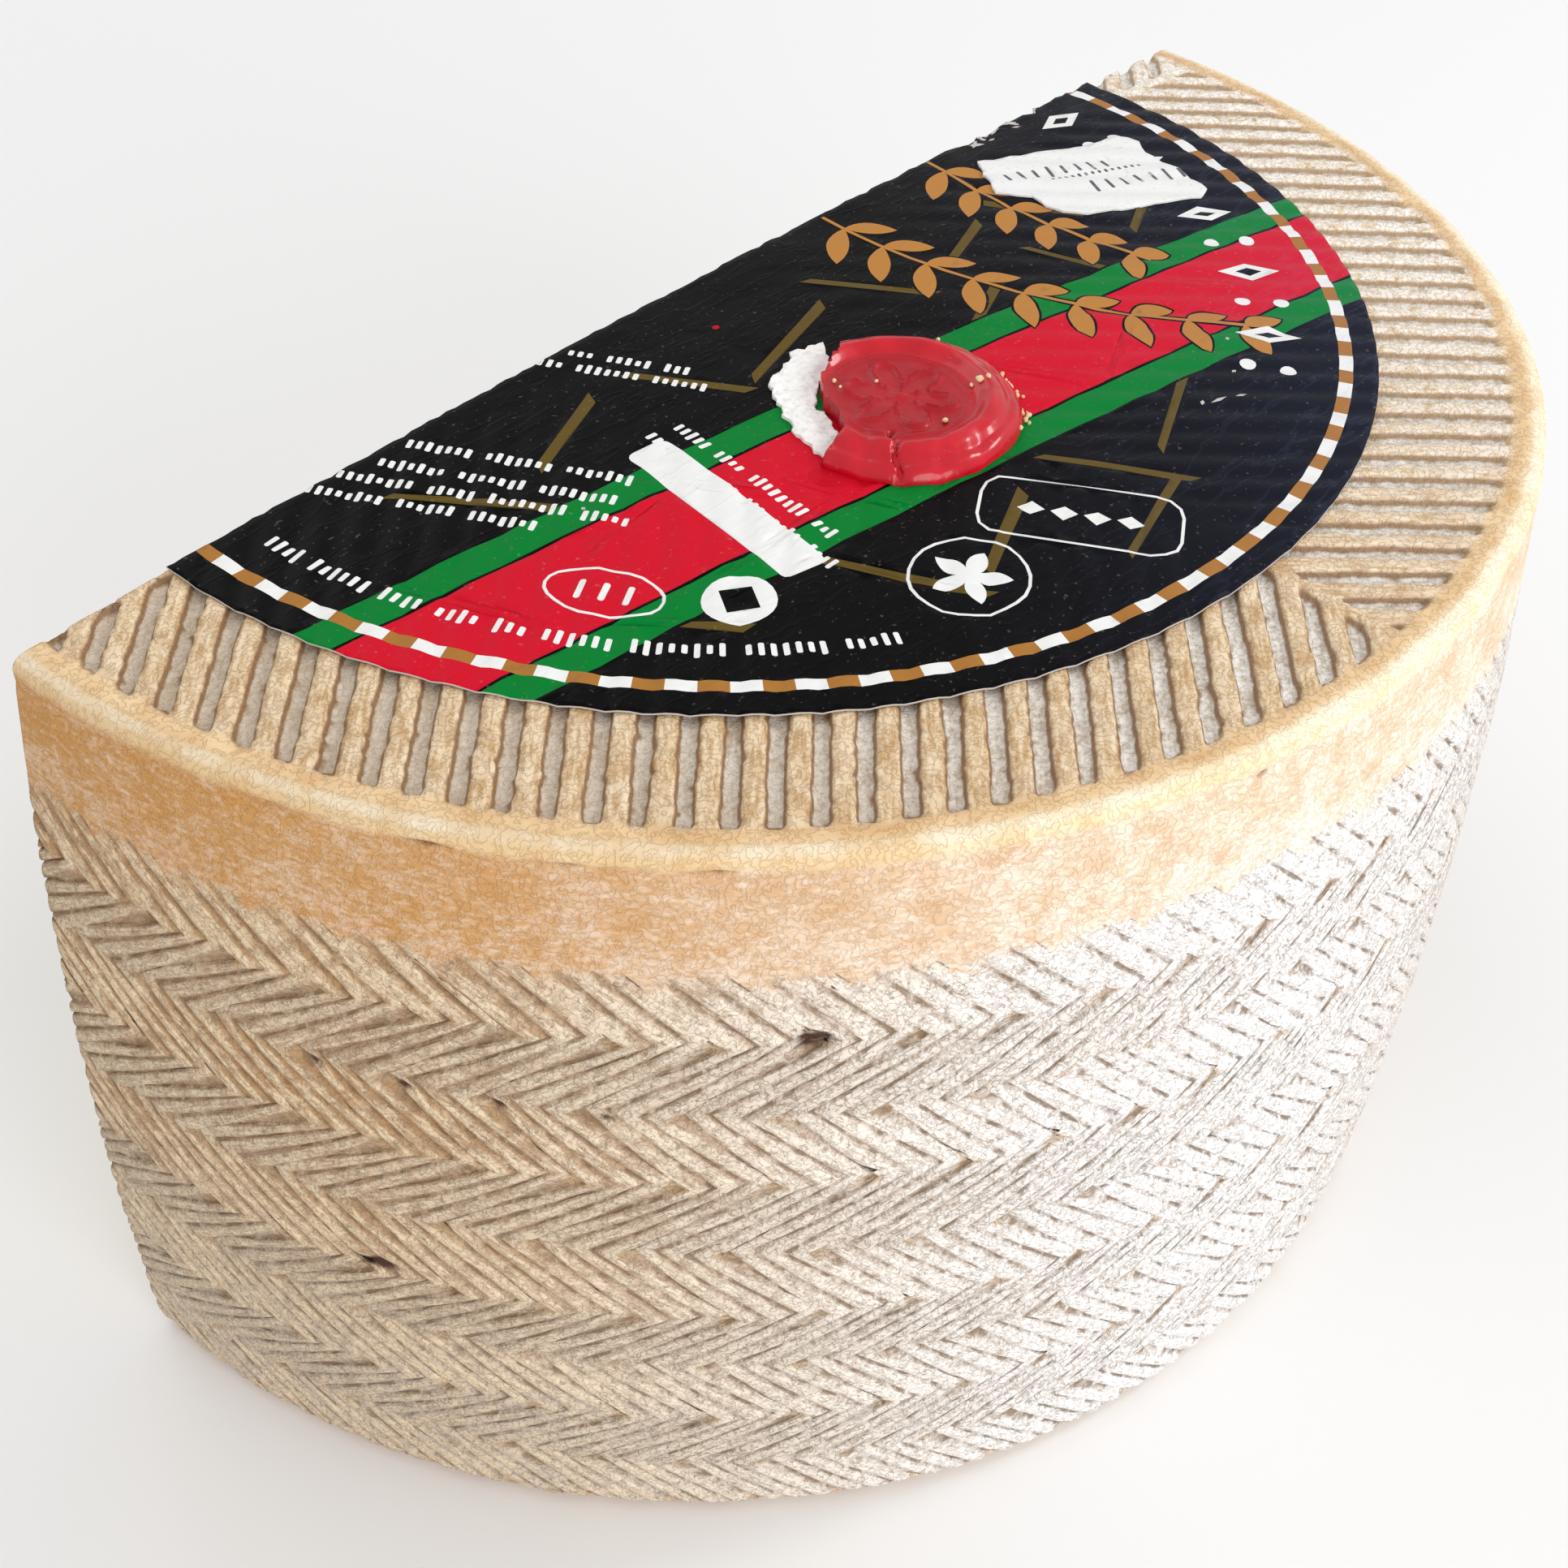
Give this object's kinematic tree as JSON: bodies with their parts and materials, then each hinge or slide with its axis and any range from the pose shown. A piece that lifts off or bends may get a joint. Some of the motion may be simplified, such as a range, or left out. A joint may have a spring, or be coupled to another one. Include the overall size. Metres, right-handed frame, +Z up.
{
  "type": "half wheel of aged sheep cheese",
  "caption": "Half of a drum-shaped aged sheep cheese with a plaited side, grooved faces, a dark paper label, a date sticker and a red wax seal.",
  "frame": {"origin": "bottom centre of the half wheel's box, on the surface it rests on", "axes": "+Z up along the wheel's axis, +X along the straight cut, +Y out of the cut face, the round side towards -Y"},
  "size_m": [0.2062, 0.1044, 0.1145],
  "materials": {
    "rind": "dry, waxy aged rind with a white bloom",
    "label_print": "satin printed paper",
    "red_wax": "glossy sealing wax",
    "white_paper": "matt white paper"
  },
  "bodies": {
    "root": {"cheese": "rind", "label": "label_print", "wax_seal": "red_wax", "torn_paper": "white_paper", "date_sticker": "white_paper"}
  },
  "joints": []
}
